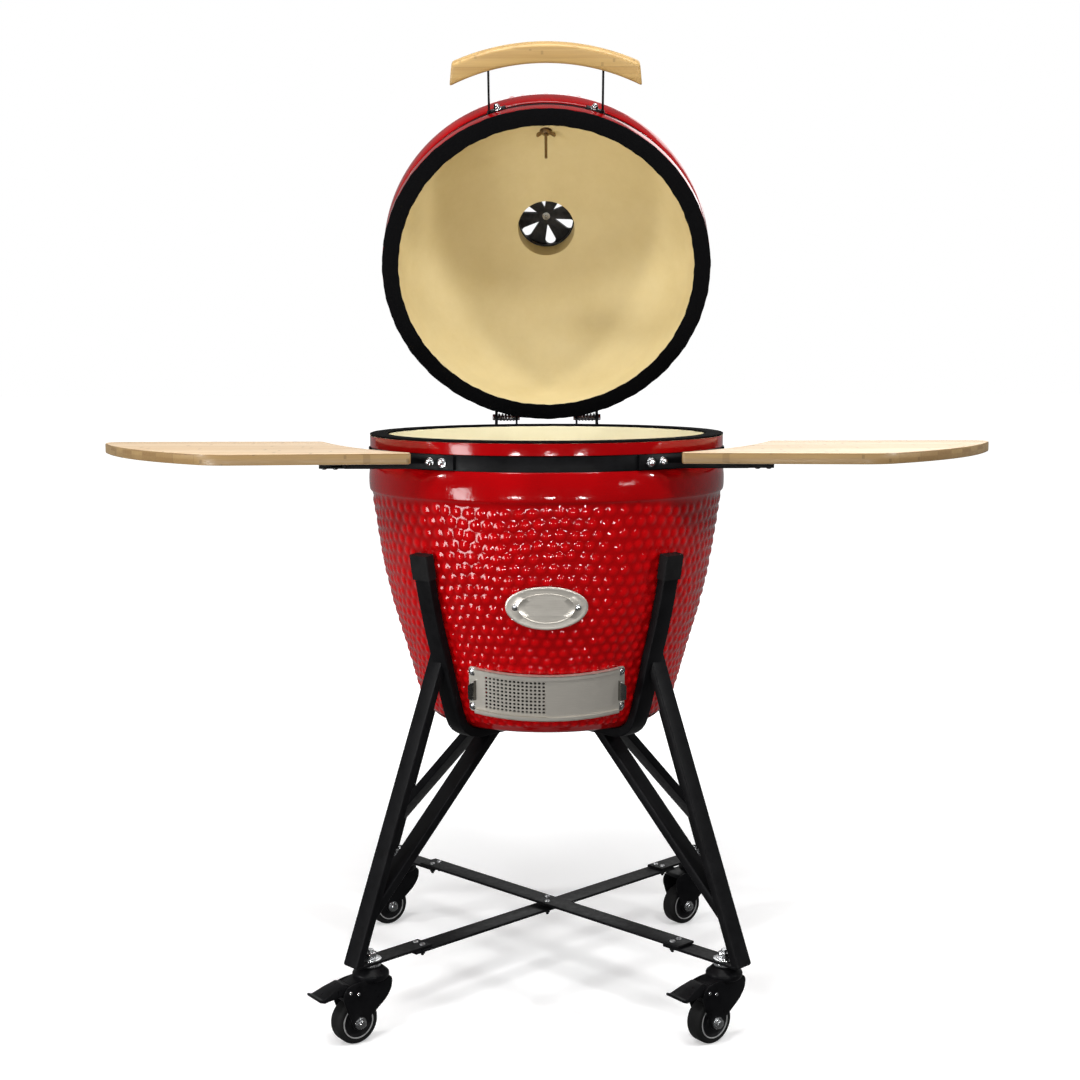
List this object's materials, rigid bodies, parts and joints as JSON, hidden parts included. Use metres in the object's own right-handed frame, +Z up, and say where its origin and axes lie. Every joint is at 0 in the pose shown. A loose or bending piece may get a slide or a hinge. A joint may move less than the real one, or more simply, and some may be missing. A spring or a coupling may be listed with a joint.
{
  "type": "kamado ceramic grill",
  "caption": "Free-standing ceramic kamado grill: dimpled glazed bowl and hinged lid, bamboo handle and fold-down side shelves, draft doors, top vent, wheeled stand.",
  "frame": {"origin": "on the floor, in the middle of the whole footprint with the lid open; the bowl and stand are centred 85 mm in front of it", "axes": "+Z up, -Y towards the front with the draft doors, +X to the right as seen from the front"},
  "size_m": [1.3738, 0.8098, 1.4651],
  "materials": {
    "red_glaze": "deep red gloss glaze over dimples, bare cream ceramic inside",
    "fire_ceramic": "bare fired clay",
    "felt": "dense black felt",
    "black_steel": "satin black powder coat",
    "caster_black": "semi-gloss black",
    "cast_iron": "sand-cast, seasoned black",
    "grid_steel": "drawn rod",
    "stainless": "brushed stainless",
    "needle": "matte black",
    "zinc": "bright zinc plate",
    "spring_steel": "drawn spring wire",
    "bamboo": "oiled laminated bamboo",
    "tyre": "hard rubber tread on a nylon hub"
  },
  "bodies": {
    "body": {"base_bowl": "red_glaze", "base_gasket": "felt", "base_band": "black_steel", "fire_box": "fire_ceramic", "fire_ring": "fire_ceramic", "charcoal_grate": "cast_iron", "cooking_grate": "grid_steel", "draft_frame": "stainless", "badge_plate": "stainless", "hinge_base_bracket": "black_steel", "hinge_pin": "zinc", "hinge_spring_left": "spring_steel", "hinge_spring_right": "spring_steel", "shelf_mount_left_front": "black_steel", "shelf_mount_left_rear": "black_steel", "shelf_mount_right_front": "black_steel", "shelf_mount_right_rear": "black_steel", "leg_front_left": "black_steel", "leg_front_right": "black_steel", "leg_back_left": "black_steel", "leg_back_right": "black_steel", "cross_bar_upper": "black_steel", "cross_bar_lower": "black_steel"},
    "lid": {"lid_dome": "red_glaze", "lid_gasket": "felt", "lid_band": "black_steel", "handle_bracket_left": "black_steel", "handle_bracket_right": "black_steel", "lid_handle": "bamboo", "thermometer_case": "stainless", "thermometer_nut": "stainless", "vent_collar": "cast_iron", "hinge_lid_bracket": "black_steel"},
    "needle": {"thermometer_needle": "needle"},
    "vent_cap": {"vent_slide": "cast_iron", "vent_screw": "zinc"},
    "daisy": {"daisy_wheel": "cast_iron"},
    "screen": {"screen_door": "stainless"},
    "door": {"draft_door": "stainless"},
    "shelf_left": {"shelf_board_left": "bamboo", "shelf_arm_left_front": "black_steel", "shelf_arm_left_rear": "black_steel"},
    "shelf_right": {"shelf_board_right": "bamboo", "shelf_arm_right_front": "black_steel", "shelf_arm_right_rear": "black_steel"},
    "swivel_front_left": {"fork_front_left": "caster_black", "axle_front_left": "zinc"},
    "roller_front_left": {"wheel_front_left": "tyre"},
    "swivel_front_right": {"fork_front_right": "caster_black", "axle_front_right": "zinc"},
    "roller_front_right": {"wheel_front_right": "tyre"},
    "swivel_back_left": {"fork_back_left": "caster_black", "axle_back_left": "zinc"},
    "roller_back_left": {"wheel_back_left": "tyre"},
    "swivel_back_right": {"fork_back_right": "caster_black", "axle_back_right": "zinc"},
    "roller_back_right": {"wheel_back_right": "tyre"},
    "pedal_front_left": {"brake_front_left": "caster_black"},
    "pedal_front_right": {"brake_front_right": "caster_black"}
  },
  "joints": [
    {"name": "lid_hinge", "type": "hinge", "parent": "body", "child": "lid", "pos_m": [0, 0.2139, 0.826], "axis": [1, 0, 0], "range_deg": [0, 66.3], "stiffness_Nm_per_rad": 25, "springref_deg": -13.75},
    {"name": "needle_turn", "type": "hinge", "parent": "lid", "child": "needle", "pos_m": [0, 0.20135, 1.38773], "axis": [0, -0.4274, -0.9041], "range_deg": [0, 270], "stiffness_Nm_per_rad": 0.0005, "springref_deg": -17.19},
    {"name": "vent_cap_swing", "type": "hinge", "parent": "lid", "child": "vent_cap", "pos_m": [-0.077, 0.37365, 1.22212], "axis": [0, 0.9157, 0.4019], "range_deg": [0, 95]},
    {"name": "daisy_turn", "type": "hinge", "parent": "vent_cap", "child": "daisy", "pos_m": [0, 0.37777, 1.22393], "axis": [0, 0.9157, 0.4019], "range_deg": [0, 30]},
    {"name": "screen_slide", "type": "hinge", "parent": "body", "child": "screen", "pos_m": [0, -0.08441, 0.54601], "axis": [0, 0.2689, -0.9632], "range_deg": [-25, 0]},
    {"name": "door_slide", "type": "hinge", "parent": "body", "child": "door", "pos_m": [0, -0.08441, 0.54601], "axis": [0, 0.2689, -0.9632], "range_deg": [0, 25]},
    {"name": "shelf_left_fold", "type": "hinge", "parent": "body", "child": "shelf_left", "pos_m": [-0.284, -0.1846, 0.824], "axis": [0, -1, 0], "range_deg": [0, 90]},
    {"name": "shelf_right_fold", "type": "hinge", "parent": "body", "child": "shelf_right", "pos_m": [0.284, -0.1846, 0.824], "axis": [0, 1, 0], "range_deg": [0, 90]},
    {"name": "swivel_front_left", "type": "hinge", "parent": "body", "child": "swivel_front_left", "pos_m": [-0.2545, -0.3391, 0.1], "axis": [0, 0, 1], "continuous": true},
    {"name": "roll_front_left", "type": "hinge", "parent": "swivel_front_left", "child": "roller_front_left", "pos_m": [-0.27749, -0.35611, 0.033], "axis": [0.5948, -0.8039, 0], "continuous": true},
    {"name": "swivel_front_right", "type": "hinge", "parent": "body", "child": "swivel_front_right", "pos_m": [0.2545, -0.3391, 0.1], "axis": [0, 0, 1], "continuous": true},
    {"name": "roll_front_right", "type": "hinge", "parent": "swivel_front_right", "child": "roller_front_right", "pos_m": [0.23151, -0.35611, 0.033], "axis": [0.5948, -0.8039, 0], "continuous": true},
    {"name": "swivel_back_left", "type": "hinge", "parent": "body", "child": "swivel_back_left", "pos_m": [-0.2545, 0.1699, 0.1], "axis": [0, 0, 1], "continuous": true},
    {"name": "roll_back_left", "type": "hinge", "parent": "swivel_back_left", "child": "roller_back_left", "pos_m": [-0.27749, 0.15289, 0.033], "axis": [0.5948, -0.8039, 0], "continuous": true},
    {"name": "swivel_back_right", "type": "hinge", "parent": "body", "child": "swivel_back_right", "pos_m": [0.2545, 0.1699, 0.1], "axis": [0, 0, 1], "continuous": true},
    {"name": "roll_back_right", "type": "hinge", "parent": "swivel_back_right", "child": "roller_back_right", "pos_m": [0.23151, 0.15289, 0.033], "axis": [0.5948, -0.8039, 0], "continuous": true},
    {"name": "brake_front_left", "type": "hinge", "parent": "swivel_front_left", "child": "pedal_front_left", "pos_m": [-0.28665, -0.36289, 0.078], "axis": [0.5948, -0.8039, 0], "range_deg": [0, 14]},
    {"name": "brake_front_right", "type": "hinge", "parent": "swivel_front_right", "child": "pedal_front_right", "pos_m": [0.22235, -0.36289, 0.078], "axis": [0.5948, -0.8039, 0], "range_deg": [0, 14]}
  ]
}
